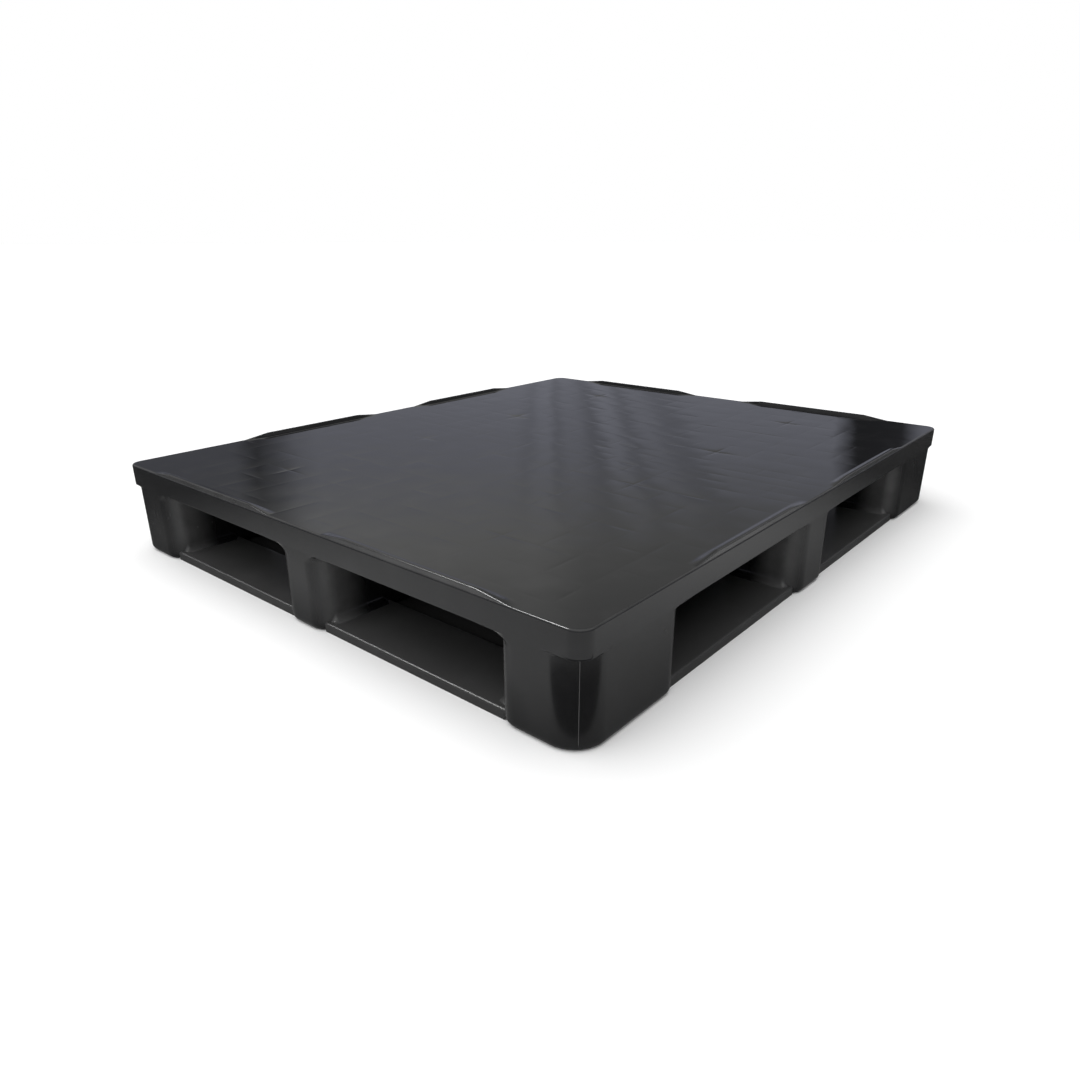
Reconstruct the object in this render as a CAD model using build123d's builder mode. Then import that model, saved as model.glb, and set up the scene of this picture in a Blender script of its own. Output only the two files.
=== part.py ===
"""Closed-deck plastic pallet, four-way entry, nine legs on a perimeter base.

Millimetres. X runs along the long side, Y along the short side, Z up. The origin is the centre
of the footprint on the floor.
"""
import os

from build123d import *

# ---- driving dimensions ----
LENGTH = 1200.0          # overall, along X
WIDTH = 1000.0           # overall, along Y
DECK_Z = 154.0           # load surface above the floor
RIM_HEIGHT = 6.0         # raised retaining rims above the load surface
APRON_HEIGHT = 36.0      # depth of the deck's side band

DECK_CORNER_R = 22.0
DECK_EDGE_R = 3.0
SKIN = 4.5               # deck plate and apron wall
RIB = 2.5                # under-deck ribs
RIB_PITCH = 61.5         # spacing of the ribs, both ways
MID_RIB_PITCH = 36.5     # closer ribs over the middle legs, along X
MID_RIBS = 2             # how many of them on each side of the middle line

LEG_LONG_END = 200.0     # legs on the short sides, size along X
LEG_LONG_MID = 115.0     # legs on the middle line, size along X
LEG_WIDE_END = 125.0     # legs on the long sides, size along Y
LEG_WIDE_MID = 95.0      # legs on the middle line, size along Y
LEG_EDGE_R = 30.0        # upright edges
LEG_OUTER_R = 45.0       # the one upright edge at each pallet corner
LEG_TOE_R = 10.0         # rounding under each leg
LEG_WALL = 5.0
LEG_WEB = 4.0            # cross web inside a leg
HEAD_FLARE_R = 12.0      # leg blends into the deck's underside
FOOT_FLARE_R = 20.0      # leg blends onto the base boards

BOARD_Z = 14.0           # top of the base boards
BOARD_INSET = 9.0        # base boards stand back from the leg faces
BOARD_WIDTH = 110.0      # perimeter boards
RUNNER_X_WIDTH = 85.0    # middle boards that run along X
RUNNER_Y_WIDTH = 100.0   # middle boards that run along Y
BOARD_EDGE_R = 3.0
BOARD_SKIN = 4.0
BOARD_POCKET = 50.0      # largest pocket between two ribs under a board

RIM_INSET = 3.0          # rim's upright face behind the deck's side face
RIM_TOP = 4.0            # flat crest
RIM_FOOT = 12.0          # width of the rim where it meets the deck
RIM_CREST_R = 1.5        # rounding along the crest
RIM_RAMP = 50.0          # sloped length at each end of a rim
RIM_X = (56.0, 376.0)    # rim ends along the long sides, from the middle line
RIM_Y = (62.0, 400.0)    # rim ends along the short sides, from the middle line

# ---- derived levels ----
APRON_Z = DECK_Z - APRON_HEIGHT
PLATE_Z = DECK_Z - SKIN
RIM_Z = DECK_Z + RIM_HEIGHT
SPLIT_Z = 0.5 * (APRON_Z + BOARD_Z)
PLATE = 10.0             # thickness of the construction plates that carry the flares

HALF_L = LENGTH / 2
HALF_W = WIDTH / 2

# ---- leg layout: centre and size of the three columns (X) and three rows (Y) ----
COLUMNS = {
    "left": (-(HALF_L - LEG_LONG_END / 2), LEG_LONG_END),
    "mid": (0.0, LEG_LONG_MID),
    "right": (HALF_L - LEG_LONG_END / 2, LEG_LONG_END),
}
ROWS = {
    "front": (-(HALF_W - LEG_WIDE_END / 2), LEG_WIDE_END),
    "centre": (0.0, LEG_WIDE_MID),
    "back": (HALF_W - LEG_WIDE_END / 2, LEG_WIDE_END),
}


def leg_outline(column, row, shrink=0.0):
    """Rounded footprint of one leg; a corner leg has its large radius at the pallet's corner."""
    (cx, size_x), (cy, size_y) = COLUMNS[column], ROWS[row]
    at_corner = column != "mid" and row != "centre"
    outer_r = LEG_OUTER_R if at_corner else LEG_EDGE_R
    with BuildSketch() as outline:
        with Locations((cx, cy)):
            Rectangle(size_x - 2 * shrink, size_y - 2 * shrink)
        fillet(outline.vertices().sort_by_distance((0, 0))[:3], LEG_EDGE_R - shrink)
        fillet(outline.vertices().sort_by_distance((0, 0))[-1], outer_r - shrink)
    return outline.sketch


def base_flats():
    """Flat tops of the base: perimeter boards and the middle cross, inside their rounded edges."""
    flat_x = LENGTH - 2 * BOARD_INSET - 2 * BOARD_EDGE_R
    flat_y = WIDTH - 2 * BOARD_INSET - 2 * BOARD_EDGE_R
    flat_width = BOARD_WIDTH - 2 * BOARD_EDGE_R
    with BuildSketch() as plan:
        Rectangle(flat_x, flat_y)
        Rectangle(flat_x - 2 * flat_width, flat_y - 2 * flat_width, mode=Mode.SUBTRACT)
        Rectangle(flat_x, RUNNER_X_WIDTH - 2 * BOARD_EDGE_R)
        Rectangle(RUNNER_Y_WIDTH - 2 * BOARD_EDGE_R, flat_y)
    return plan.sketch


def flare(outline, low, high, plate_low, radius, region):
    """Concave blend between a leg and a flat plate, trimmed to the region it may stand over."""
    plate_z = low - PLATE if plate_low else high
    meet_z = low if plate_low else high
    centre = outline.bounding_box().center()
    with BuildPart() as blend:
        with BuildSketch(Plane.XY.offset(low)):
            add(outline)
        extrude(amount=high - low)
        with BuildSketch(Plane.XY.offset(plate_z)):
            with Locations((centre.X, centre.Y)):
                Rectangle(2 * LEG_LONG_END, 2 * LEG_LONG_END)
        extrude(amount=PLATE)
        level = blend.edges().filter_by_position(Axis.Z, meet_z, meet_z)
        fillet([edge for edge in level if edge.length < LEG_LONG_END], radius)
        with BuildSketch(Plane.XY.offset(low)):
            add(region)
        extrude(amount=high - low, mode=Mode.INTERSECT)
    return blend.part


def make_leg(column, row, label):
    outline = leg_outline(column, row)
    inner = leg_outline(column, row, LEG_WALL)
    (cx, size_x), (cy, size_y) = COLUMNS[column], ROWS[row]
    with BuildSketch() as deck_plan:
        RectangleRounded(LENGTH, WIDTH, DECK_CORNER_R)
    foot = flare(outline, BOARD_Z, SPLIT_Z, True, FOOT_FLARE_R, base_flats())
    head = flare(outline, SPLIT_Z, APRON_Z, False, HEAD_FLARE_R, deck_plan.sketch)
    with BuildPart() as leg:
        with BuildSketch():
            add(outline)
        extrude(amount=APRON_Z)
        fillet(leg.faces().sort_by(Axis.Z)[0].edges(), LEG_TOE_R)
        add(foot)
        add(head)
        with BuildSketch(Plane.XY.offset(LEG_WALL)):
            add(inner)
        extrude(amount=APRON_Z, mode=Mode.SUBTRACT)
        with BuildSketch(Plane.XY.offset(LEG_WALL)):
            with Locations((cx, cy)):
                Rectangle(size_x - LEG_WALL, LEG_WEB)
                Rectangle(LEG_WEB, size_y - LEG_WALL)
        extrude(amount=APRON_Z - LEG_WALL)
    leg.part.label = label
    export_step(leg.part, f"parts/{label}.step")
    return leg.part


def make_board(label, x_range, y_range, neighbours):
    """Base board between two legs: flat skin, side walls and cross ribs, open underneath."""
    size_x = x_range[1] - x_range[0]
    size_y = y_range[1] - y_range[0]
    centre = ((x_range[0] + x_range[1]) / 2, (y_range[0] + y_range[1]) / 2)
    along_x = size_x > size_y
    cells_x = max(1, round(size_x / BOARD_POCKET)) if along_x else 2
    cells_y = 2 if along_x else max(1, round(size_y / BOARD_POCKET))
    pitch_x = (size_x - BOARD_SKIN) / cells_x
    pitch_y = (size_y - BOARD_SKIN) / cells_y
    with BuildPart() as board:
        with BuildSketch():
            with Locations(centre):
                Rectangle(size_x, size_y)
        extrude(amount=BOARD_Z)
        top = board.faces().sort_by(Axis.Z)[-1]
        long_axis = Axis.X if along_x else Axis.Y
        fillet(top.edges().filter_by(long_axis), BOARD_EDGE_R)
        with BuildSketch():
            with Locations(centre):
                with GridLocations(pitch_x, pitch_y, cells_x, cells_y):
                    Rectangle(pitch_x - BOARD_SKIN, pitch_y - BOARD_SKIN)
        extrude(amount=BOARD_Z - BOARD_SKIN, mode=Mode.SUBTRACT)
        with BuildSketch():
            for column, row in neighbours:
                add(leg_outline(column, row))
        extrude(amount=BOARD_Z, mode=Mode.SUBTRACT)
    board.part.label = label
    export_step(board.part, f"parts/{label}.step")
    return board.part


def make_rim(along_x, side, half):
    """One raised rim on the deck's edge: upright outside, sloped inside, ramped at both ends."""
    start, end = RIM_X if along_x else RIM_Y
    edge = HALF_W if along_x else HALF_L
    # section across the edge: distance inwards from the side face, height
    section = [
        (RIM_INSET, 0.0), (RIM_INSET, RIM_HEIGHT),
        (RIM_INSET + RIM_TOP, RIM_HEIGHT), (RIM_INSET + RIM_FOOT, 0.0),
    ]
    # view along the edge: distance from the middle line, height
    elevation = [
        (start, 0.0), (start + RIM_RAMP, RIM_HEIGHT), (end - RIM_RAMP, RIM_HEIGHT), (end, 0.0),
    ]
    sunk = 1.0
    across = Plane.YZ if along_x else Plane.XZ
    endwise = Plane.XZ if along_x else Plane.YZ
    section_pts = [(side * (edge - inward), DECK_Z + up) for inward, up in section]
    elevation_pts = [(half * along, DECK_Z + up) for along, up in elevation]
    section_pts += [(section_pts[-1][0], DECK_Z - sunk), (section_pts[0][0], DECK_Z - sunk)]
    elevation_pts += [(elevation_pts[-1][0], DECK_Z - sunk), (elevation_pts[0][0], DECK_Z - sunk)]
    with BuildPart() as rim:
        with BuildSketch(across) as profile:
            with BuildLine():
                Polyline(*section_pts, close=True)
            make_face()
            fillet(profile.vertices().group_by(Axis.Y)[-1], RIM_CREST_R)
        extrude(amount=LENGTH, both=True)
        with BuildSketch(endwise):
            with BuildLine():
                Polyline(*elevation_pts, close=True)
            make_face()
        extrude(amount=LENGTH, both=True, mode=Mode.INTERSECT)
    return rim.part


os.makedirs("parts", exist_ok=True)

# ---- deck plate: closed load surface, side band and raised rims in one moulding ----
with BuildPart() as deck_plate:
    with BuildSketch(Plane.XY.offset(APRON_Z)):
        RectangleRounded(LENGTH, WIDTH, DECK_CORNER_R)
    extrude(amount=APRON_HEIGHT)
    fillet(deck_plate.faces().sort_by(Axis.Z)[-1].edges(), DECK_EDGE_R)
    with BuildSketch(Plane.XY.offset(APRON_Z)):
        RectangleRounded(LENGTH - 2 * SKIN, WIDTH - 2 * SKIN, DECK_CORNER_R - SKIN)
    extrude(amount=PLATE_Z - APRON_Z, mode=Mode.SUBTRACT)
    for rim_along_x in (True, False):
        for rim_side in (-1, 1):
            for rim_half in (-1, 1):
                add(make_rim(rim_along_x, rim_side, rim_half))
deck_plate.part.label = "deck_plate"
export_step(deck_plate.part, "parts/deck_plate.step")

# ---- rib tray: grid of ribs under the deck plate, inside the side band ----
inside_x = LENGTH - 2 * SKIN
inside_y = WIDTH - 2 * SKIN
mid_ribs_end = MID_RIBS * MID_RIB_PITCH
outer_ribs = int((inside_x / 2 - DECK_CORNER_R - mid_ribs_end) / RIB_PITCH)
long_ribs = int((inside_y / 2 - DECK_CORNER_R) / RIB_PITCH)
with BuildPart() as rib_tray:
    with BuildSketch(Plane.XY.offset(APRON_Z)):
        with GridLocations(MID_RIB_PITCH, 0, 2 * MID_RIBS + 1, 1):
            Rectangle(RIB, inside_y)
        for rib_side in (-1, 1):
            rib_row_x = rib_side * (mid_ribs_end + RIB_PITCH * (outer_ribs + 1) / 2)
            with Locations((rib_row_x, 0)):
                with GridLocations(RIB_PITCH, 0, outer_ribs, 1):
                    Rectangle(RIB, inside_y)
        with GridLocations(0, RIB_PITCH, 1, 2 * long_ribs + 1):
            Rectangle(inside_x, RIB)
    extrude(amount=PLATE_Z - APRON_Z)
rib_tray.part.label = "rib_tray"
export_step(rib_tray.part, "parts/rib_tray.step")

# ---- nine hollow legs ----
LEG_NAMES = {
    ("left", "front"): "leg_front_left", ("mid", "front"): "leg_front_mid",
    ("right", "front"): "leg_front_right", ("left", "centre"): "leg_left_mid",
    ("mid", "centre"): "leg_centre", ("right", "centre"): "leg_right_mid",
    ("left", "back"): "leg_back_left", ("mid", "back"): "leg_back_mid",
    ("right", "back"): "leg_back_right",
}
for (leg_column, leg_row), leg_name in LEG_NAMES.items():
    make_leg(leg_column, leg_row, leg_name)

# ---- twelve base boards, each from one leg to the next ----
# a board runs into the rounded footprint of its legs and is trimmed to it
gap_x = (LEG_LONG_MID / 2 - LEG_EDGE_R, HALF_L - LEG_LONG_END + LEG_EDGE_R)
gap_y = (LEG_WIDE_MID / 2 - LEG_EDGE_R, HALF_W - LEG_WIDE_END + LEG_EDGE_R)
board_y = (HALF_W - BOARD_INSET - BOARD_WIDTH, HALF_W - BOARD_INSET)
board_x = (HALF_L - BOARD_INSET - BOARD_WIDTH, HALF_L - BOARD_INSET)
runner_y = (RUNNER_X_WIDTH / 2, board_y[0])


def mirrored(span, sign):
    return span if sign > 0 else (-span[1], -span[0])


for sign_x, column_name in ((-1, "left"), (1, "right")):
    for sign_y, row_name in ((-1, "front"), (1, "back")):
        make_board(
            f"board_{row_name}_{column_name}", mirrored(gap_x, sign_x), mirrored(board_y, sign_y),
            [("mid", row_name), (column_name, row_name)],
        )
        make_board(
            f"board_{column_name}_{row_name}", mirrored(board_x, sign_x), mirrored(gap_y, sign_y),
            [(column_name, "centre"), (column_name, row_name)],
        )
for sign_x, column_name in ((-1, "left"), (1, "right")):
    make_board(
        f"runner_{column_name}", mirrored(gap_x, sign_x),
        (-RUNNER_X_WIDTH / 2, RUNNER_X_WIDTH / 2),
        [("mid", "centre"), (column_name, "centre")],
    )
for sign_y, row_name in ((-1, "front"), (1, "back")):
    make_board(
        f"runner_{row_name}", (-RUNNER_Y_WIDTH / 2, RUNNER_Y_WIDTH / 2),
        mirrored(runner_y, sign_y),
        [("mid", "centre"), ("mid", row_name)],
    )
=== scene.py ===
import math

import bmesh
import bpy
import numpy as np
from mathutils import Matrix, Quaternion, Vector, noise


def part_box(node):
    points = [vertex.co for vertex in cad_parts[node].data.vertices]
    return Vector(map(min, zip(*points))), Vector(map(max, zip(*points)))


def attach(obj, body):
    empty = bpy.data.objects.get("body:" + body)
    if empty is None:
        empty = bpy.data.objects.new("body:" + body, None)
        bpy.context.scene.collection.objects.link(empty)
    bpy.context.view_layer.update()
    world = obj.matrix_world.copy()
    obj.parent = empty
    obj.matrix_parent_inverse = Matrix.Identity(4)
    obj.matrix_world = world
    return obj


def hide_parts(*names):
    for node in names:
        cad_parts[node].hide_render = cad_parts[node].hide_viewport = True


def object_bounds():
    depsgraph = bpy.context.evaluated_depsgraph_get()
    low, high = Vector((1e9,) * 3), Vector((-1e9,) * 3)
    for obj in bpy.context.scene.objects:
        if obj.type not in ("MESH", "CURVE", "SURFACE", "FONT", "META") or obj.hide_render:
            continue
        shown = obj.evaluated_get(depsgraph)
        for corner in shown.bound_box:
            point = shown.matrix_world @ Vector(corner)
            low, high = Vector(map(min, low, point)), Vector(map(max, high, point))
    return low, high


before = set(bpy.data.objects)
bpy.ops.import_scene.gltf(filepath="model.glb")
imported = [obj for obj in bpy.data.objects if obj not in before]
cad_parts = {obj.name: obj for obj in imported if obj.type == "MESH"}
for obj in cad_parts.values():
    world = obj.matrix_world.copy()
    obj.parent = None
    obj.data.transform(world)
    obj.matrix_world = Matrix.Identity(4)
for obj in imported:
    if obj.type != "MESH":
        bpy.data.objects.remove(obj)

# Closed-deck plastic pallet in black moulded plastic, in metres.
# X runs along the long side, Y along the short side, Z up, and the origin is on the floor.

MM = 0.001
CAD_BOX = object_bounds()
HALF_L = CAD_BOX[1].x
HALF_W = CAD_BOX[1].y
RIM_Z = CAD_BOX[1].z
APRON_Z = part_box("deck_plate")[0].z
BOARD_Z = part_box("board_front_left")[1].z

# ---- deck ----
RIM_HEIGHT = 6 * MM
DECK_Z = RIM_Z - RIM_HEIGHT      # load surface at its border, and between the rims
CORNER_R = 22 * MM
CORNER_STEPS = 12
EDGE_R = 3 * MM
EDGE_STEPS = 4
EDGE_PAINTED_LIGHT = 0.35                  # how far painted light lightens the rounded edge, where it is halfway turned
SKIN = 4.5 * MM
LIP_R = 1.2 * MM                 # rounding under the side band, between the legs
LIP_STEPS = 3
LIP_FADE = 16 * MM
OVERSAIL_FADE = 3 * MM           # the same fade at the corners, where the deck oversails the leg
RIM_X = (56 * MM, 376 * MM)      # rim ends along the long sides, from the middle line
RIM_Y = (62 * MM, 400 * MM)      # rim ends along the short sides, from the middle line
RIM_RAMP = 50 * MM
DECK_SAG = 3.5 * MM              # how far the middle of the load surface hangs

# In mm: how far inside the deck's edge the loops of points round its border lie, and a raised
# rim's section as (inset, height), from its steep outer wall to its long inner slope.
BORDER_INSETS = (18, 15, 12, 9, 7, 5.5, 4.2, 3.0, 2.4, 2.0, 1.6, 1.3, 1.1, 1.02, 1.0)
RIM_SECTION = ((1.0, 0.0), (1.02, 5.0), (1.1, 5.6), (1.6, RIM_HEIGHT / MM),
               (5.5, RIM_HEIGHT / MM), (7.0, 5.6), (15.0, 0.0))

# The load surface's points: these steps from each rib, then no further apart than the longest gap.
RIB_STEPS = (-5 * MM, -2 * MM, 0.0, 2 * MM, 5 * MM)
SHORTEST_GAP = 0.5 * MM
LONGEST_GAP = 12 * MM

# ---- marks that moulding leaves on the load surface ----
RIB_PITCH = 61.5 * MM
MID_RIB_PITCH = 36.5 * MM
MID_RIBS = 2                     # ribs at the closer pitch, to each side of the middle one
OUTER_RIBS = 8
LONG_RIBS = 7
SINK_DEPTH = 0.15 * MM
SINK_WIDTH = 2.8 * MM
SINK_PATCH = 38 * MM             # sink marks come and go over about this length
SINKS_ALONG_Y = (0.30, 2.2, 3.1)     # even share, patchy share and random seed
SINKS_ALONG_X = (0.20, 1.9, 7.7)
GATE_DEPTH = 1.1 * MM            # deeper cross-shaped marks at the injection gates
FAINT_GATE = 0.35                # share of that depth on the left half, where the marks are faint
GATE_ARM = 38 * MM
GATE_WIDTH = 3.0 * MM
GATES_X = (2, 7)                 # rib numbers, counted outwards from the closer middle ribs
GATE_Y_RIB = 4
PILLOW = 0.10 * MM               # each pocket between ribs stands a little proud
WAVES = ((170 * MM, 0.30 * MM), (62 * MM, 0.15 * MM), (26 * MM, 0.06 * MM))  # length, height
BORDER_CALM = 45 * MM            # all these marks fade out over this width inside the edge

# ---- legs ----
LEG_LONG_END = 200 * MM
LEG_LONG_MID = 115 * MM
LEG_WIDE_END = 125 * MM
LEG_WIDE_MID = 95 * MM
LEG_EDGE_R = 30 * MM
LEG_EDGE_STEPS = 18
LEG_OUTER_R = 45 * MM
LEG_OUTER_STEPS = 28
STATION_GAP = 7 * MM
LEG_TOE_R = 10 * MM
TOE_STEPS = 6
LEG_WALL = 5 * MM
HEAD_FLARE_SHORT = 14 * MM       # blend under the deck, on the short sides
HEAD_FLARE_LONG = 5 * MM         # and on the long sides
FLARE_CHANGE = 80 * MM           # it goes from one to the other over this length
CORNER_FLARE_R = 2.5 * MM        # at the pallet's corners, where the deck oversails the leg
FOOT_FLARE_R = 12 * MM
FLARE_STEPS = 8
FOOT_LIP = 0.6 * MM              # the foot's blend ends this far inside the board
UPRIGHT_GAP = 4 * MM             # the plain wall starts this far above the foot's blend
PARTING_WIDTH = 0.8 * MM
PARTING_HEIGHT = 0.35 * MM
PARTING_SECTION = ((-1, 0), (-0.4, 1), (0.4, 1), (1, 0))  # shares of half the width, of the height

# ---- painted light on the legs, lighter plastic as a share of PAINTED_LIGHT_COLOUR ----
# painted highlight along the parting ridge
PARTING_PAINTED_HIGHLIGHT = 1.0
ENTRY_PAINTED_LIGHT = 0.75                # painted light on the sides of the openings where forks enter, fading inwards
ENTRY_REACH = (38 * MM, 82 * MM)
UPRIGHT_PAINTED_HIGHLIGHT = 0.9               # a painted highlight line along a leg's upright edges
UPRIGHT_TURN = 0.58              # where on the rounding it runs
UPRIGHT_SPREAD = 0.14
SHELTERED_PAINTED_HIGHLIGHT = 0.1             # share of that line on edges that face the -X -Y corner

# ---- base boards ----
BOARD_FLAT_OUT = 12 * MM         # flat top of a board starts this far inside the pallet's side
BOARD_FLAT = 104 * MM
RUNNER_X_FLAT = 79 * MM
RUNNER_Y_FLAT = 94 * MM
FLAT_FADE = 10 * MM

COLUMNS = {
    "left": (-(HALF_L - LEG_LONG_END / 2), LEG_LONG_END),
    "mid": (0.0, LEG_LONG_MID),
    "right": (HALF_L - LEG_LONG_END / 2, LEG_LONG_END),
}
ROWS = {
    "front": (-(HALF_W - LEG_WIDE_END / 2), LEG_WIDE_END),
    "centre": (0.0, LEG_WIDE_MID),
    "back": (HALF_W - LEG_WIDE_END / 2, LEG_WIDE_END),
}
LEG_NAMES = {
    ("left", "front"): "leg_front_left", ("mid", "front"): "leg_front_mid",
    ("right", "front"): "leg_front_right", ("left", "centre"): "leg_left_mid",
    ("mid", "centre"): "leg_centre", ("right", "centre"): "leg_right_mid",
    ("left", "back"): "leg_back_left", ("mid", "back"): "leg_back_mid",
    ("right", "back"): "leg_back_right",
}


def smooth(t):
    """Smooth step from 0 to 1 as t goes from 0 to 1."""
    t = np.clip(t, 0.0, 1.0)
    return t * t * (3 - 2 * t)


# =============================== materials ===============================

# lighter colour that paints light and highlights onto the plastic
PAINTED_LIGHT_COLOUR = (0.12, 0.12, 0.12)
PLASTIC_IOR = 1.46
GRAIN_HEIGHT = 0.02 * MM
RIPPLE_HEIGHT = 0.25 * MM


class NodeTools:
    """Short ways to add and link the nodes of one node tree."""

    def __init__(self, tree):
        self.nodes, self.links = tree.nodes, tree.links

    def new(self, kind):
        return self.nodes.new("ShaderNode" + kind)

    def feed(self, socket, value):
        """Links an output to the socket, or sets the socket to a number or a colour."""
        if isinstance(value, bpy.types.NodeSocket):
            self.links.new(value, socket)
        else:
            socket.default_value = value

    def maths(self, kind, a, b):
        node = self.new("Math")
        node.operation = kind
        self.feed(node.inputs[0], a)
        self.feed(node.inputs[1], b)
        return node.outputs["Value"]

    def spread(self, value, low, high, to_low=0.0, to_high=1.0, kind="SMOOTHSTEP"):
        """Goes from to_low to to_high as the value goes from low to high."""
        node = self.new("MapRange")
        node.interpolation_type = kind
        self.feed(node.inputs["Value"], value)
        for socket, number in (("From Min", low), ("From Max", high),
                               ("To Min", to_low), ("To Max", to_high)):
            node.inputs[socket].default_value = number
        return node.outputs["Result"]

    def blend(self, factor, under, over, kind="MIX", data="RGBA"):
        """Mixes over into under by the factor."""
        node = self.new("Mix")
        node.data_type = data
        node.blend_type = kind
        self.feed(node.inputs["Factor"], factor)
        self.feed(node.inputs["A"], under)
        self.feed(node.inputs["B"], over)
        return node.outputs["Result"]

    def ramp(self, value, stops):
        """Colour ramp through stops of (position from 0 to 1, colour)."""
        node = self.new("ValToRGB")
        elements = node.color_ramp.elements
        for position, _ in stops[1:-1]:
            elements.new(position)
        for element, (position, colour) in zip(elements, stops):
            element.position = position
            element.color = colour
        self.feed(node.inputs["Fac"], value)
        return node.outputs["Color"]

    def parts(self, vector):
        """X, Y and Z of a vector output."""
        node = self.new("SeparateXYZ")
        self.feed(node.inputs["Vector"], vector)
        return node.outputs["X"], node.outputs["Y"], node.outputs["Z"]


def opaque(colour):
    return (*colour, 1)


def grey(level):
    return (level, level, level, 1)


def plastic(name, colour, lighter, roughness, rough_spread, bump, scuffs, painted_top_light=0.0):
    """Moulded black plastic: cloudy colour, smudged gloss, fine grain, a few dull scuffs and
    painted light.

    painted_top_light is how far painted light from above lightens the surfaces that face up.
    """
    material = bpy.data.materials.new(name)
    material.use_nodes = True
    shader = material.node_tree.nodes["Principled BSDF"]
    shader.inputs["IOR"].default_value = PLASTIC_IOR
    shader.inputs["Specular IOR Level"].default_value = 0.5
    tree = NodeTools(material.node_tree)
    place = tree.new("TexCoord").outputs["Object"]

    def cloud(scale, detail, stretch=(1, 1, 1)):
        """Random field with about that many features in a metre."""
        mapping = tree.new("Mapping")
        mapping.inputs["Scale"].default_value = stretch
        tree.feed(mapping.inputs["Vector"], place)
        texture = tree.new("TexNoise")
        texture.inputs["Scale"].default_value = scale
        texture.inputs["Detail"].default_value = detail
        tree.feed(texture.inputs["Vector"], mapping.outputs["Vector"])
        return texture.outputs["Fac"]

    def relief(height, field):
        node = tree.new("Bump")
        node.inputs["Strength"].default_value = bump
        node.inputs["Distance"].default_value = height
        tree.feed(node.inputs["Height"], field)
        return node

    smudges = cloud(9.0, 4.0)
    clouds = cloud(22.0, 3.0)
    scratches = tree.spread(cloud(60.0, 2.0, (1.0, 9.0, 1.0)), 0.66, 0.76, 0.0, scuffs)
    specks = tree.spread(cloud(420.0, 2.0), 0.68, 0.8, 0.0, scuffs * 0.5)
    marks = tree.maths("MAXIMUM", tree.maths("MAXIMUM", scratches, specks),
                       tree.spread(clouds, 0.45, 0.8, 0.0, 0.4))

    # painted light from above: faces that point up are painted lighter, over the random lighter
    # marks
    _, _, upward = tree.parts(tree.new("NewGeometry").outputs["Normal"])
    marked_and_top_lit = tree.blend(tree.spread(upward, 0.75, 1.0, 0.0, painted_top_light),
                       tree.blend(marks, opaque(colour), opaque(lighter)), opaque(PAINTED_LIGHT_COLOUR))
    # painted light and painted highlights, from each mesh's painted_light attribute, patchy over
    # the surface
    painted_light_input = tree.new("Attribute")
    painted_light_input.attribute_name = "painted_light"
    patchy = tree.maths("MULTIPLY", painted_light_input.outputs["Fac"],
                        tree.spread(clouds, 0.3, 0.6, 0.75, 1.0))
    tree.feed(shader.inputs["Base Color"], tree.blend(patchy, marked_and_top_lit, opaque(PAINTED_LIGHT_COLOUR)))

    gloss = tree.spread(smudges, 0.3, 0.7, roughness - rough_spread, roughness + rough_spread)
    dulled = tree.maths("MULTIPLY", scratches, tree.spread(clouds, 0.4, 0.6, 0.1, 0.2))
    tree.feed(shader.inputs["Roughness"], tree.maths("ADD", gloss, dulled))

    grain = relief(GRAIN_HEIGHT, cloud(900.0, 2.0))
    ripple = relief(RIPPLE_HEIGHT, cloud(45.0, 2.0))
    tree.feed(ripple.inputs["Normal"], grain.outputs["Normal"])
    tree.feed(shader.inputs["Normal"], ripple.outputs["Normal"])
    return material


def matt(name, level):
    """Plain matt grey without gloss, and its shader."""
    material = bpy.data.materials.new(name)
    material.use_nodes = True
    shader = material.node_tree.nodes["Principled BSDF"]
    shader.inputs["Base Color"].default_value = grey(level)
    shader.inputs["Roughness"].default_value = 1.0
    shader.inputs["Specular IOR Level"].default_value = 0.0
    return material, shader


# =============================== mesh tools ===============================

WELD = 0.004 * MM                # points closer than this are joined
SHARP_ANGLE = 38                 # degrees


def make_piece(name, points, faces, painted_light, material, node_name):
    """One closed mesh from points and faces, cleaned, smooth shaded, in place of a CAD node.

    painted_light gives, for each point, how far painted light and painted highlights lighten the
    plastic there.
    """
    mesh = bpy.data.meshes.new(name)
    mesh.from_pydata([tuple(p) for p in points], [], faces)
    work = bmesh.new()
    work.from_mesh(mesh)
    layer = work.verts.layers.float.new("painted_light")
    for vertex, share in zip(work.verts, painted_light):
        vertex[layer] = share
    bmesh.ops.remove_doubles(work, verts=work.verts, dist=WELD)
    bmesh.ops.dissolve_degenerate(work, edges=work.edges, dist=WELD)
    bmesh.ops.recalc_face_normals(work, faces=work.faces)
    work.to_mesh(mesh)
    work.free()
    mesh.shade_smooth()
    mesh.set_sharp_from_angle(angle=math.radians(SHARP_ANGLE))
    mesh.materials.append(material)
    piece = bpy.data.objects.new(name, mesh)
    bpy.context.scene.collection.objects.link(piece)
    weighted = piece.modifiers.new("weighted_normals", "WEIGHTED_NORMAL")
    weighted.keep_sharp = True
    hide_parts(node_name)
    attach(piece, "root")


def skin_rings(rings):
    """Points and faces of a closed skin through rings that have the same number of points."""
    count = len(rings[0])
    last = len(rings) - 1
    faces = []
    for level in range(last):
        for k in range(count):
            after = (k + 1) % count
            faces.append((level * count + k, level * count + after,
                          (level + 1) * count + after, (level + 1) * count + k))
    faces.append(tuple(range(count))[::-1])
    faces.append(tuple(last * count + k for k in range(count)))
    return np.vstack(rings), faces


# =============================== deck ===============================

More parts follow.
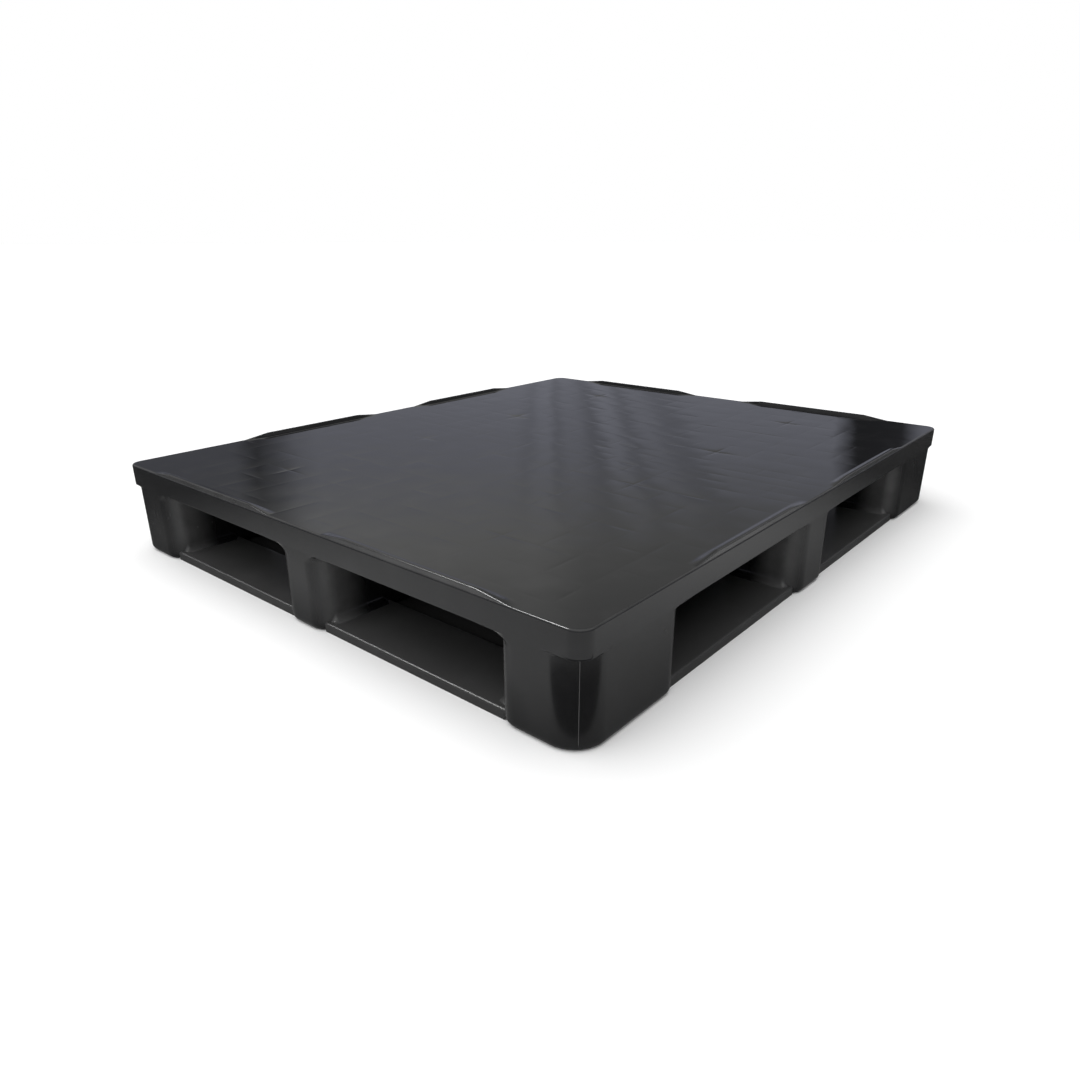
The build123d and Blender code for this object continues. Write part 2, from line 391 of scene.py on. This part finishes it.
RIB_LINES_X = sorted(
    [side * MID_RIB_PITCH * k for k in range(1, MID_RIBS + 1) for side in (-1, 1)] + [0.0]
    + [side * (MID_RIBS * MID_RIB_PITCH + RIB_PITCH * k)
       for k in range(1, OUTER_RIBS + 1) for side in (-1, 1)]
)
RIB_LINES_Y = [RIB_PITCH * k for k in range(-LONG_RIBS, LONG_RIBS + 1)]
GATE_LINES_X = [side * (MID_RIBS * MID_RIB_PITCH + RIB_PITCH * (k - 1))
                for k in GATES_X for side in (-1, 1)]
GATE_LINES_Y = [-GATE_Y_RIB * RIB_PITCH, GATE_Y_RIB * RIB_PITCH]


def grid_lines(ribs, half, extra):
    """Grid positions from -half to half: close together at each rib, evenly spread between."""
    close = [rib + step for rib in ribs for step in RIB_STEPS]
    marks = sorted(set([-half, half] + close + extra))
    marks = [m for m in marks if -half <= m <= half]
    lines = [marks[0]]
    for mark in marks[1:]:
        gap = mark - lines[-1]
        if gap < SHORTEST_GAP:
            continue
        pieces = math.ceil(gap / LONGEST_GAP)
        lines += [lines[-1] + gap * k / pieces for k in range(1, pieces + 1)]
    lines[-1] = half
    return np.array(lines)


def nearest(values, lines):
    """Distance from each value to the nearest of the lines."""
    return np.abs(values[:, None] - np.array(lines)[None, :]).min(1)


def ripple_field(x, y, length, seed):
    """Smooth random field, -1 to 1, with features of the given length."""
    return np.array([noise.noise((px / length, py / length, seed)) for px, py in zip(x, y)])


def sink_strength(x, y, strengths):
    """Strength of the sink marks, 0 or more: they come and go in random patches."""
    even, patchy, seed = strengths
    return np.maximum(even + patchy * ripple_field(x, y, SINK_PATCH, seed), 0)


def deck_sag(x, y):
    """How far the load surface hangs there."""
    return DECK_SAG * (1 - (x / HALF_L) ** 2) * (1 - (y / HALF_W) ** 2)


def deck_relief(x, y):
    """Height of the load surface against its flat level: sag, waves, pockets, sinks and gates."""
    calm = (smooth((HALF_L - np.abs(x)) / BORDER_CALM)
            * smooth((HALF_W - np.abs(y)) / BORDER_CALM))
    off_x = nearest(x, RIB_LINES_X)
    off_y = nearest(y, RIB_LINES_Y)
    sinks = (sink_strength(x, y, SINKS_ALONG_Y) * np.exp(-(off_x / SINK_WIDTH) ** 2)
             + sink_strength(x, y, SINKS_ALONG_X) * np.exp(-(off_y / SINK_WIDTH) ** 2)
             ) * SINK_DEPTH
    pillow = PILLOW * (smooth(off_x / (RIB_PITCH / 2)) * smooth(off_y / (RIB_PITCH / 2)))
    waves = sum(height * ripple_field(x, y, length, length / MM) for length, height in WAVES)
    gate_x = nearest(x, GATE_LINES_X)
    gate_y = nearest(y, GATE_LINES_Y)
    arm_x = np.exp(-(gate_y / GATE_WIDTH) ** 2) * smooth(1 - gate_x / GATE_ARM)
    arm_y = np.exp(-(gate_x / GATE_WIDTH) ** 2) * smooth(1 - gate_y / GATE_ARM)
    gates = GATE_DEPTH * np.maximum(arm_x, arm_y) * np.where(x < 0, FAINT_GATE, 1.0)
    return -deck_sag(x, y) + calm * (pillow + waves - sinks - gates)


def rim_height(x, y, inset):
    """Height of the raised rims over the deck's border, for points that far inside the edge."""
    section = np.interp(inset / MM, *zip(*RIM_SECTION))
    on_long = (HALF_W - np.abs(y)) <= (HALF_L - np.abs(x))
    along = np.where(on_long, np.abs(x), np.abs(y))
    start = np.where(on_long, RIM_X[0], RIM_Y[0])
    end = np.where(on_long, RIM_X[1], RIM_Y[1])
    ramp = np.minimum(along - start, end - along) / RIM_RAMP
    return section * np.clip(ramp, 0, 1) * MM


def border_ring(lines_x, lines_y, inset):
    """Plan points of one ring round the deck, that far inside its edge, front side first."""
    radius = CORNER_R - inset
    core_l, core_w = HALF_L - CORNER_R, HALF_W - CORNER_R
    sides = [
        [(x, -HALF_W + inset) for x in lines_x],
        [(HALF_L - inset, y) for y in lines_y],
        [(x, HALF_W - inset) for x in lines_x[::-1]],
        [(-HALF_L + inset, y) for y in lines_y[::-1]],
    ]
    centres = [(core_l, -core_w), (core_l, core_w), (-core_l, core_w), (-core_l, -core_w)]
    ring = []
    for number, (side, centre) in enumerate(zip(sides, centres)):
        ring += side
        for step in range(1, CORNER_STEPS):
            angle = math.radians(-90 + 90 * number + 90 * step / CORNER_STEPS)
            ring.append((centre[0] + radius * math.cos(angle),
                         centre[1] + radius * math.sin(angle)))
    return np.array(ring)


def lip_weight(ring):
    """1 where the side band's lower edge is free, 0 where it runs on into a leg."""
    weight = np.ones(len(ring))
    for along, across, limit, spans, flare in (
        (ring[:, 0], ring[:, 1], HALF_W, COLUMNS, HEAD_FLARE_LONG),
        (ring[:, 1], ring[:, 0], HALF_L, ROWS, HEAD_FLARE_SHORT),
    ):
        on_side = np.abs(across) > limit - CORNER_R
        for centre, size in spans.values():
            beyond = np.abs(along - centre) - size / 2 - flare
            weight = np.where(on_side, np.minimum(weight, smooth(beyond / LIP_FADE)), weight)
    past_x = np.abs(ring[:, 0]) - (HALF_L - LEG_OUTER_R)
    past_y = np.abs(ring[:, 1]) - (HALF_W - LEG_OUTER_R)
    oversail = np.hypot(np.maximum(past_x, 0), np.maximum(past_y, 0)) - LEG_OUTER_R
    return np.maximum(weight, smooth(oversail / OVERSAIL_FADE))


def rim_marks(start, end):
    """Where the rims' ramps start and end along a side."""
    return [side * mark for side in (-1, 1)
            for mark in (start, end, start + RIM_RAMP, end - RIM_RAMP)]


def edge_drop(inset):
    """How far the rounded edge lies below the load surface, that far inside the side."""
    return EDGE_R - math.sqrt(EDGE_R ** 2 - max(EDGE_R - inset, 0.0) ** 2)


def edge_painted_light(turned):
    """Painted light over the rounded edge, which faces up at 0 and sideways at 1."""
    return EDGE_PAINTED_LIGHT * 4 * turned * (1 - turned) if turned > 0 else 0.0


def make_deck(material):
    """Load surface, rims, rounded edge, side band and underside in one closed moulding.

    Grids of points make the load surface and the underside. Between their edges, rings of points
    run round the border: over the rims and the rounded edge, down the side band, back inside it.
    """
    lines_x = grid_lines(RIB_LINES_X, HALF_L - CORNER_R, rim_marks(*RIM_X))
    lines_y = grid_lines(RIB_LINES_Y, HALF_W - CORNER_R, rim_marks(*RIM_Y))
    count_x, count_y = len(lines_x), len(lines_y)

    grid = np.array([(x, y) for y in lines_y for x in lines_x])
    tops = np.column_stack([grid, DECK_Z + deck_relief(*grid.T)])
    unders = np.column_stack([grid, DECK_Z - SKIN - deck_sag(*grid.T)])

    def edge_ids(offset):
        """Grid points round the grid's edge, repeated at the corners to meet the rings' arcs."""
        ids = offset + np.arange(count_x * count_y).reshape(count_y, count_x)
        loop = []
        for side in (ids[0], ids[:, -1], ids[-1, ::-1], ids[::-1, 0]):
            loop += [int(index) for index in side]
            loop += [int(side[-1])] * (CORNER_STEPS - 1)
        return loop

    def ring_at(inset, z):
        plan = border_ring(lines_x, lines_y, inset)
        return np.column_stack([plan, np.broadcast_to(z, len(plan))])

    def top_ring(inset):
        x, y = border_ring(lines_x, lines_y, inset).T
        height = DECK_Z + deck_relief(x, y) + rim_height(x, y, inset)
        return np.column_stack([x, y, height - edge_drop(inset)])

    rings, edge_lights = [], []
    for inset in BORDER_INSETS:
        rings.append(top_ring(inset * MM))
        edge_lights.append(edge_painted_light(1 - inset * MM / EDGE_R))
    first_turn = math.asin(1 - BORDER_INSETS[-1] * MM / EDGE_R)
    for step in range(1, EDGE_STEPS + 1):
        turn = first_turn + (math.pi / 2 - first_turn) * step / EDGE_STEPS
        inset = EDGE_R * (1 - math.sin(turn))
        rings.append(ring_at(inset, DECK_Z - EDGE_R * (1 - math.cos(turn))))
        edge_lights.append(edge_painted_light(math.sin(turn)))
    rings.append(ring_at(0.0, DECK_Z - EDGE_R - MM))
    rings.append(ring_at(0.0, APRON_Z + LIP_R + MM))
    outer = border_ring(lines_x, lines_y, 0.0)
    inner = border_ring(lines_x, lines_y, LIP_R)
    lip = lip_weight(outer)
    for step in range(LIP_STEPS + 1):
        turn = math.radians(90 * step / LIP_STEPS)
        share = (lip * (1 - math.cos(turn)))[:, None]
        rings.append(np.column_stack([outer * (1 - share) + inner * share,
                                      APRON_Z + LIP_R * lip * (1 - math.sin(turn))]))
    rings.append(ring_at(SKIN, APRON_Z))
    rings.append(ring_at(SKIN, DECK_Z - SKIN))

    points = np.vstack([tops, unders] + rings)
    faces = []
    for j in range(count_y - 1):
        for i in range(count_x - 1):
            a = j * count_x + i
            faces.append((a, a + 1, a + 1 + count_x, a + count_x))
            b = a + len(tops)
            faces.append((b, b + count_x, b + 1 + count_x, b + 1))
    ring_len = len(rings[0])
    start = len(tops) + len(unders)
    chains = [edge_ids(0)] + [[start + n * ring_len + k for k in range(ring_len)]
                              for n in range(len(rings))] + [edge_ids(len(tops))]
    for high, low in zip(chains, chains[1:]):
        for k in range(ring_len):
            after = (k + 1) % ring_len
            face = []
            for index in (high[k], low[k], low[after], high[after]):
                if index not in face:
                    face.append(index)
            if len(face) > 2:
                faces.append(tuple(face))
    # painted light on the rings over the rounded edge
    painted_light = np.zeros(len(points))
    painted_light[start:start + len(edge_lights) * ring_len] = np.repeat(edge_lights, ring_len)
    make_piece("deck_shell", points, faces, painted_light, material, "deck_plate")


# =============================== legs ===============================

def leg_stations(column, row):
    """Points round a leg: X, Y, outward X and Y, parting line's height share, 1 on the outer arc.

    Only a corner leg has the outer arc, at the pallet's corner, with the parting line on it.
    """
    (centre_x, size_x), (centre_y, size_y) = COLUMNS[column], ROWS[row]
    at_corner = column != "mid" and row != "centre"
    out_x = -1 if column == "left" else 1
    out_y = -1 if row == "front" else 1
    points = []
    corners = [(1, -1), (1, 1), (-1, 1), (-1, -1)]
    for number, (sx, sy) in enumerate(corners):
        outer = at_corner and (sx, sy) == (out_x, out_y)
        radius = LEG_OUTER_R if outer else LEG_EDGE_R
        cx = centre_x + sx * (size_x / 2 - radius)
        cy = centre_y + sy * (size_y / 2 - radius)
        steps = LEG_OUTER_STEPS if outer else LEG_EDGE_STEPS
        for step in range(steps + 1):
            angle = math.radians(-90 + 90 * number + 90 * step / steps)
            nx, ny = math.cos(angle), math.sin(angle)
            points.append((cx + radius * nx, cy + radius * ny, nx, ny, 0.0, float(outer)))
            if outer and step == steps // 2:
                half_turn = PARTING_WIDTH / 2 / radius
                points.pop()
                for shift, proud in PARTING_SECTION:
                    turned = angle + shift * half_turn
                    nx, ny = math.cos(turned), math.sin(turned)
                    reach = radius + proud * PARTING_HEIGHT
                    points.append((cx + reach * nx, cy + reach * ny, nx, ny, proud, 1.0))
    stations = []
    for here, after in zip(points, points[1:] + points[:1]):
        stations.append(here)
        span = math.hypot(after[0] - here[0], after[1] - here[1])
        pieces = math.ceil(span / STATION_GAP)
        for k in range(1, pieces):
            t = k / pieces
            stations.append((here[0] + (after[0] - here[0]) * t,
                             here[1] + (after[1] - here[1]) * t, here[2], here[3], 0.0, 0.0))
    return np.array(stations)


def on_flats(x, y):
    """1 over the flat tops of the base boards, fading to 0 just past their edges."""
    def band(value, low, high):
        return smooth((value - low) / FLAT_FADE) * smooth((high - value) / FLAT_FADE)

    low_l = HALF_L - BOARD_FLAT_OUT - BOARD_FLAT
    low_w = HALF_W - BOARD_FLAT_OUT - BOARD_FLAT
    high_l = HALF_L - BOARD_FLAT_OUT
    high_w = HALF_W - BOARD_FLAT_OUT
    inside = (np.abs(x) <= HALF_L) & (np.abs(y) <= HALF_W)
    share = np.maximum.reduce([
        band(np.abs(y), low_w, high_w), band(np.abs(x), low_l, high_l),
        band(y, -RUNNER_X_FLAT / 2, RUNNER_X_FLAT / 2),
        band(x, -RUNNER_Y_FLAT / 2, RUNNER_Y_FLAT / 2),
    ])
    return np.where(inside, share, 0.0)


def keep_on_deck(plan):
    """Pulls plan points back inside the deck's rounded outline."""
    x = np.clip(plan[:, 0], -HALF_L, HALF_L)
    y = np.clip(plan[:, 1], -HALF_W, HALF_W)
    core_l, core_w = HALF_L - CORNER_R, HALF_W - CORNER_R
    over_x, over_y = np.abs(x) - core_l, np.abs(y) - core_w
    reach = np.hypot(np.maximum(over_x, 0), np.maximum(over_y, 0))
    past = (over_x > 0) & (over_y > 0) & (reach > CORNER_R)
    scale = np.where(past, CORNER_R / np.maximum(reach, 1e-9), 1.0)
    x = np.where(past, np.sign(x) * (core_l + over_x * scale), x)
    y = np.where(past, np.sign(y) * (core_w + over_y * scale), y)
    return np.column_stack([x, y])


def leg_painted_light(stations, column, row):
    """Painted light on a leg: painted highlights on the parting line and the upright edges, and
    painted light on the fork-entry sides.
    """
    x, y, nx, ny, proud = stations[:, :5].T
    depth_x, depth_y = HALF_L - np.abs(x), HALF_W - np.abs(y)
    painted_light = PARTING_PAINTED_HIGHLIGHT * proud
    for depth, other_depth, side_on, on_edge in (
        (depth_y, depth_x, np.abs(nx), row != "centre"),
        (depth_x, depth_y, np.abs(ny), column != "mid"),
    ):
        if not on_edge:
            continue
        faces_fork = smooth((other_depth - LEG_OUTER_R) / LEG_OUTER_R)
        entry = ENTRY_PAINTED_LIGHT * (1 - smooth((depth - ENTRY_REACH[0])
                                         / (ENTRY_REACH[1] - ENTRY_REACH[0]))) * side_on ** 4
        edge = UPRIGHT_PAINTED_HIGHLIGHT * np.exp(-((side_on - UPRIGHT_TURN) / UPRIGHT_SPREAD) ** 2)
        edge *= np.where(nx + ny > -0.5, 1.0, SHELTERED_PAINTED_HIGHLIGHT) * (depth < LEG_EDGE_R)
        painted_light = np.maximum(painted_light, faces_fork * np.maximum(entry, edge))
    return painted_light


def make_leg(column, row, name, material):
    """Hollow leg: rounded toe, blend onto the boards, upright walls, blend under the deck.

    The blend onto the boards runs only where a board's flat top lies beside the leg, and the
    outer arc at the pallet's corner has none.
    """
    stations = leg_stations(column, row)
    base, out, proud = stations[:, :2], stations[:, 2:4], stations[:, 4]
    on_outer_arc = stations[:, 5] > 0
    half_reach, just_out = base + out * (FOOT_FLARE_R * 0.5), base + out * MM
    foot = FOOT_FLARE_R * np.minimum(on_flats(*half_reach.T), on_flats(*just_out.T))
    foot = np.where(on_outer_arc, 0.0, foot)
    flat = base - out * (proud * PARTING_HEIGHT)[:, None]
    towards_short = (np.abs(base[:, 0]) - HALF_L) - (np.abs(base[:, 1]) - HALF_W)
    head_r = HEAD_FLARE_LONG + ((HEAD_FLARE_SHORT - HEAD_FLARE_LONG)
                                * smooth(0.5 + towards_short / FLARE_CHANGE))
    head_r = np.where(on_outer_arc, CORNER_FLARE_R, head_r)

    def ring(offset, z, plan=base):
        offset = np.broadcast_to(offset, len(plan))
        z = np.broadcast_to(z, len(plan))
        return np.column_stack([plan + out * offset[:, None], z])

    rings = []
    for step in range(TOE_STEPS + 1):
        turn = math.radians(90 * step / TOE_STEPS)
        rings.append(ring(-LEG_TOE_R * (1 - math.sin(turn)), LEG_TOE_R * (1 - math.cos(turn))))
    rings.append(ring(0.0, BOARD_Z - FOOT_LIP))
    rings.append(ring(foot, BOARD_Z - FOOT_LIP))
    for step in range(FLARE_STEPS + 1):
        turn = math.radians(90 - 90 * step / FLARE_STEPS)
        rings.append(ring(foot * (1 - math.cos(turn)), BOARD_Z + foot * (1 - math.sin(turn))))
    rings.append(ring(0.0, BOARD_Z + FOOT_FLARE_R + UPRIGHT_GAP))
    rings.append(ring(0.0, (BOARD_Z + APRON_Z) / 2))
    for step in range(FLARE_STEPS + 1):
        turn = math.radians(90 * step / FLARE_STEPS)
        head = ring(head_r * (1 - math.cos(turn)), APRON_Z - head_r * (1 - math.sin(turn)))
        head[:, :2] = keep_on_deck(head[:, :2])
        rings.append(head)
    rings += [ring(-LEG_WALL, APRON_Z, flat), ring(-LEG_WALL, LEG_WALL, flat)]
    points, faces = skin_rings(rings)
    above_toe = smooth((points[:, 2] - LEG_TOE_R / 2) / LEG_TOE_R)
    # painted light and highlights, none on the toe
    painted_light = np.tile(leg_painted_light(stations, column, row), len(rings)) * above_toe
    make_piece(name + "_shell", points, faces, painted_light, material, name)


# =============================== floor and cards ===============================

FLOOR_REACH = 120.0              # far enough to run to the horizon
FLOOR_CELLS = 12
FLOOR_GREY = 0.9
CARD_REACH = 60.0
SHADOW_MAT_INSET = 60 * MM              # the dark mat, painted shadow under the pallet, stays this far inside the pallet's outline
SHADOW_MAT_GREY = 0.05
GREY_CARD_Z = 0.1 * MM
SHADOW_CARD_Z = 0.3 * MM
SHADOW_MAT_Z = 0.5 * MM

# The floor as reflections see it: pools of light as (centre, radius, fade-out radius, level),
# dim elsewhere, with a shade along the pallet's front side that stops at the near corner.
CORNER = Vector((-HALF_L, -HALF_W, 0.0))
POOL_BASE = 0.06
POOLS = [(CORNER + Vector((0.06, 0.0, 0.0)), 0.50, 1.35, 0.57),
         (-CORNER + Vector((0.15, 0.15, 0.0)), 0.30, 0.95, 0.40)]
SHADE_LEVEL = 0.52               # share of light left right next to the front side
SHADE_WIDTH = 0.24
SHADE_END = 0.12

# A black card, a painted shadow of the pallet that only reflections see, fans out from just
# outside the near corner: (azimuth in degrees, reach in mm).
SHADOW_CARD_GREY = 0.02
FAN_APEX = CORNER + Vector((-7, -7, 0)) * MM
FAN_ARMS = [(134, 230), (158, 210), (180, 200), (-158, 185), (-135, 180), (-112, 185),
            (-90, 195), (-70, 210), (-51, 235)]


def make_floor():
    """Plain pale floor that runs to the horizon."""
    mesh = bpy.data.meshes.new("floor")
    work = bmesh.new()
    bmesh.ops.create_grid(work, x_segments=FLOOR_CELLS, y_segments=FLOOR_CELLS, size=FLOOR_REACH)
    work.to_mesh(mesh)
    work.free()
    paint, _ = matt("floor_paint", FLOOR_GREY)
    mesh.materials.append(paint)
    floor = bpy.data.objects.new("floor", mesh)
    bpy.context.scene.collection.objects.link(floor)


def make_card(name, outline, z, level):
    """A matt card lying on the floor, and its shader."""
    mesh = bpy.data.meshes.new(name)
    work = bmesh.new()
    work.faces.new([work.verts.new((x, y, z)) for x, y in outline])
    work.to_mesh(mesh)
    work.free()
    material, shader = matt(name, level)
    mesh.materials.append(material)
    card = bpy.data.objects.new(name, mesh)
    bpy.context.scene.collection.objects.link(card)
    card.visible_shadow = False
    return card, shader


def light_pools(shader, material):
    """Pools of light on the grey card, with the shade along the pallet's front side."""
    tree = NodeTools(material.node_tree)
    position = tree.new("NewGeometry").outputs["Position"]
    levels = []
    for centre, near, far, level in POOLS:
        away = tree.new("VectorMath")
        away.operation = "DISTANCE"
        tree.feed(away.inputs[0], position)
        tree.feed(away.inputs[1], centre)
        levels.append(tree.spread(away.outputs["Value"], near, far, level, POOL_BASE))
    lit = tree.maths("MAXIMUM", *levels)
    x, y, _ = tree.parts(position)
    shade = tree.spread(y, -HALF_W - SHADE_WIDTH, -HALF_W, 1.0, SHADE_LEVEL)
    past_corner = tree.spread(x, -HALF_L - SHADE_END, -HALF_L, 1.0, 0.0)
    tree.feed(shader.inputs["Base Color"],
              tree.blend(past_corner, tree.maths("MULTIPLY", lit, shade), lit, data="FLOAT"))


def rectangle(half_x, half_y):
    return [(-half_x, -half_y), (half_x, -half_y), (half_x, half_y), (-half_x, half_y)]


def make_cards():
    """Floor cards: a grey one with painted pools of light and shade and a black painted shadow,
    both seen only by reflections, and a dark mat of painted shadow under the pallet.
    """
    fan = [(FAN_APEX.x, FAN_APEX.y)]
    for azimuth, reach in FAN_ARMS:
        turn = math.radians(azimuth)
        fan.append((FAN_APEX.x + reach * MM * math.cos(turn),
                    FAN_APEX.y + reach * MM * math.sin(turn)))
    grey_card, grey_shader = make_card("grey_card", rectangle(CARD_REACH, CARD_REACH),
                                       GREY_CARD_Z, POOL_BASE)
    light_pools(grey_shader, grey_card.data.materials[0])
    # painted shadow of the pallet, seen only in reflections
    painted_shadow_card, _ = make_card("painted_shadow_card", fan, SHADOW_CARD_Z, SHADOW_CARD_GREY)
    for card in (grey_card, painted_shadow_card):
        card.visible_camera = False
        card.visible_diffuse = False
    # dark mat of painted shadow, seen through the base's openings
    make_card("painted_shadow_mat", rectangle(HALF_L - SHADOW_MAT_INSET, HALF_W - SHADOW_MAT_INSET), SHADOW_MAT_Z, SHADOW_MAT_GREY)


# =============================== light ===============================

# Soft panels round the room, as (azimuth in degrees from +X towards +Y, then the level at each of
# the PANEL_HEIGHTS). The gaps between the panels give the dark streaks on the load surface.
PANEL_HEIGHTS = (13, 22, 42)     # degrees above the horizon
PANEL_FADE = 7                   # degrees over which the highest level comes in
PANELS = [
    (-180, 0.30, 0.35, 0.80), (-60, 0.30, 0.35, 1.00), (-35, 0.25, 0.30, 0.90),
    (-17, 0.20, 0.28, 0.10), (0, 0.24, 0.30, 0.10), (14.9, 0.30, 0.30, 0.10),
    (15.3, 0.02, 0.04, 0.10), (18.6, 0.01, 0.05, 0.10), (19.1, 0.33, 0.25, 0.10),
    (37, 0.33, 0.34, 0.05), (40, 0.33, 0.46, 0.05), (57.4, 0.30, 0.54, 0.05),
    (58.3, 0.13, 0.36, 0.05), (60.2, 0.13, 0.30, 0.05), (60.6, 0.0, 0.26, 0.05),
    (61.2, 0.0, 0.26, 0.05), (61.7, 0.14, 0.32, 0.05), (80, 0.15, 0.30, 0.05),
    (110, 0.20, 0.30, 0.05), (113, 0.20, 0.30, 28.0), (134, 0.25, 0.30, 28.0),
    (138, 0.30, 0.35, 0.80), (180, 0.30, 0.35, 0.80),
]
PANEL_TINTS = ((0.92, 0.945, 1.11), (1.0, 1.0, 0.975), (1.0, 1.0, 1.0))
OVERHEAD_LEVEL = 0.28
OVERHEAD_HEIGHTS = (55, 62)      # the panels end between these elevations

# Beams across the ceiling, as (sideways offset over height, brightness); they run away from the
# viewer along one azimuth, so that their reflections fan out over the load surface.
BEAM_AZIMUTH = 39.7
BEAM_SPAN = 1.0
BEAM_LOWEST = 0.02               # below this rise the beams' pattern is held
BEAMS = [
    (-0.80, 1.00), (-0.71, 0.74), (-0.63, 0.78), (-0.56, 1.04), (-0.50, 0.98), (-0.44, 0.70),
    (-0.37, 1.14), (-0.32, 1.12), (-0.25, 0.70), (-0.17, 0.98), (-0.10, 1.00), (-0.045, 0.82),
    (0.00, 1.10), (0.05, 1.08), (0.10, 0.90), (0.17, 1.04),
]

KEY_ANGLE = 110                  # apparent size of the key light, degrees
KEY_ENERGY = 4.2
KEY_TILT = 16                    # degrees from straight down
KEY_AZIMUTH = 155


def make_world():
    """White room for the eye; for reflections, soft panels with darker gaps between them."""
    world = bpy.data.worlds.new("studio")
    bpy.context.scene.world = world
    world.use_nodes = True
    world.cycles_visibility.diffuse = False
    world.node_tree.nodes.clear()
    tree = NodeTools(world.node_tree)
    x, y, z = tree.parts(tree.new("TexCoord").outputs["Generated"])
    around = tree.spread(tree.maths("ARCTAN2", y, x), -math.pi, math.pi, kind="LINEAR")

    def band(number):
        """The panels' levels round the room at one of the PANEL_HEIGHTS."""
        tint = PANEL_TINTS[number]
        return tree.ramp(around, [
            ((panel[0] + 180) / 360, opaque([panel[number + 1] * share for share in tint]))
            for panel in PANELS])

    def rise(low, high):
        """0 below the low elevation and 1 above the high one, in degrees."""
        return tree.spread(z, math.sin(math.radians(low)), math.sin(math.radians(high)))

    along = math.radians(BEAM_AZIMUTH)
    sideways = tree.maths("SUBTRACT", tree.maths("MULTIPLY", y, math.cos(along)),
                          tree.maths("MULTIPLY", x, math.sin(along)))
    offset = tree.maths("DIVIDE", sideways, tree.maths("MAXIMUM", z, BEAM_LOWEST))
    beams = tree.ramp(
        tree.maths("DIVIDE", tree.maths("ADD", offset, BEAM_SPAN), 2 * BEAM_SPAN),
        [((across + BEAM_SPAN) / (2 * BEAM_SPAN), grey(level)) for across, level in BEAMS])

    low, middle, high = PANEL_HEIGHTS
    room = tree.blend(1.0, band(0), beams, kind="MULTIPLY")
    room = tree.blend(rise(low, middle), room, band(1))
    room = tree.blend(rise(high - PANEL_FADE, high), room, band(2))
    room = tree.blend(rise(*OVERHEAD_HEIGHTS), room, grey(OVERHEAD_LEVEL))
    seen = tree.blend(tree.new("LightPath").outputs["Is Camera Ray"], room, grey(1))
    background = tree.new("Background")
    tree.feed(background.inputs["Color"], seen)
    tree.feed(tree.new("OutputWorld").inputs["Surface"], background.outputs["Background"])


def make_key_light():
    """One very broad soft light overhead."""
    lamp = bpy.data.lights.new("overhead", "SUN")
    lamp.angle = math.radians(KEY_ANGLE)
    lamp.energy = KEY_ENERGY
    key = bpy.data.objects.new("overhead", lamp)
    key.visible_glossy = False
    key.rotation_euler = (0, math.radians(KEY_TILT), math.radians(KEY_AZIMUTH))
    bpy.context.scene.collection.objects.link(key)


# =============================== camera ===============================

CAMERA_PLACE = Vector((-1.1507, -0.9124, 0.5131))
CAMERA_AZIMUTH = 40.396          # degrees from +X towards +Y
CAMERA_ELEVATION = -22.178
CAMERA_ROLL = -0.153
SENSOR_WIDTH = 36                # in mm, like the focal length
FOCAL_LENGTH = 26.18
LENS_SHIFT = (0.0006, 0.0185)
CLIP_RANGE = (0.01, 400)


def make_camera():
    """The photograph's viewing angle."""
    azimuth, elevation = math.radians(CAMERA_AZIMUTH), math.radians(CAMERA_ELEVATION)
    ahead = Vector((math.cos(elevation) * math.cos(azimuth),
                    math.cos(elevation) * math.sin(azimuth), math.sin(elevation)))
    lens = bpy.data.cameras.new("camera")
    lens.sensor_width = SENSOR_WIDTH
    lens.lens = FOCAL_LENGTH
    lens.shift_x, lens.shift_y = LENS_SHIFT
    lens.clip_start, lens.clip_end = CLIP_RANGE
    camera = bpy.data.objects.new("camera", lens)
    camera.location = CAMERA_PLACE
    camera.rotation_mode = "QUATERNION"
    roll = Quaternion((0, 0, 1), math.radians(CAMERA_ROLL))
    camera.rotation_quaternion = ahead.to_track_quat("-Z", "Y") @ roll
    bpy.context.scene.collection.objects.link(camera)
    bpy.context.scene.camera = camera


# =============================== assembly ===============================

deck_plastic = plastic(
    "deck_plastic", colour=(0.0090, 0.0092, 0.0098), lighter=(0.020, 0.020, 0.021),
    roughness=0.07, rough_spread=0.01, bump=0.12, scuffs=0.3)
leg_plastic = plastic(
    "leg_plastic", colour=(0.0088, 0.0089, 0.0093), lighter=(0.018, 0.018, 0.019),
    roughness=0.24, rough_spread=0.03, bump=0.30, scuffs=0.12)
rib_plastic = plastic(
    "rib_plastic", colour=(0.020, 0.020, 0.021), lighter=(0.035, 0.035, 0.036),
    roughness=0.42, rough_spread=0.05, bump=0.35, scuffs=0.3)
# base boards: faces that point up get painted light from above
base_plastic = plastic(
    "base_plastic", colour=(0.030, 0.030, 0.030), lighter=(0.050, 0.050, 0.050),
    roughness=0.36, rough_spread=0.05, bump=0.40, scuffs=0.4, painted_top_light=0.17)

make_deck(deck_plastic)
for (leg_column, leg_row), leg_name in LEG_NAMES.items():
    make_leg(leg_column, leg_row, leg_name, leg_plastic)

for node_name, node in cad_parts.items():
    if node_name.startswith(("board", "runner")):
        finish, finish_slot = base_plastic, "base"
    elif node_name == "rib_tray":
        finish, finish_slot = rib_plastic, "ribs"
    else:
        continue
    node.data.materials.clear()
    node.data.materials.append(finish)

make_floor()
make_cards()
make_world()
make_key_light()
make_camera()
bpy.context.scene.view_settings.view_transform = "Standard"
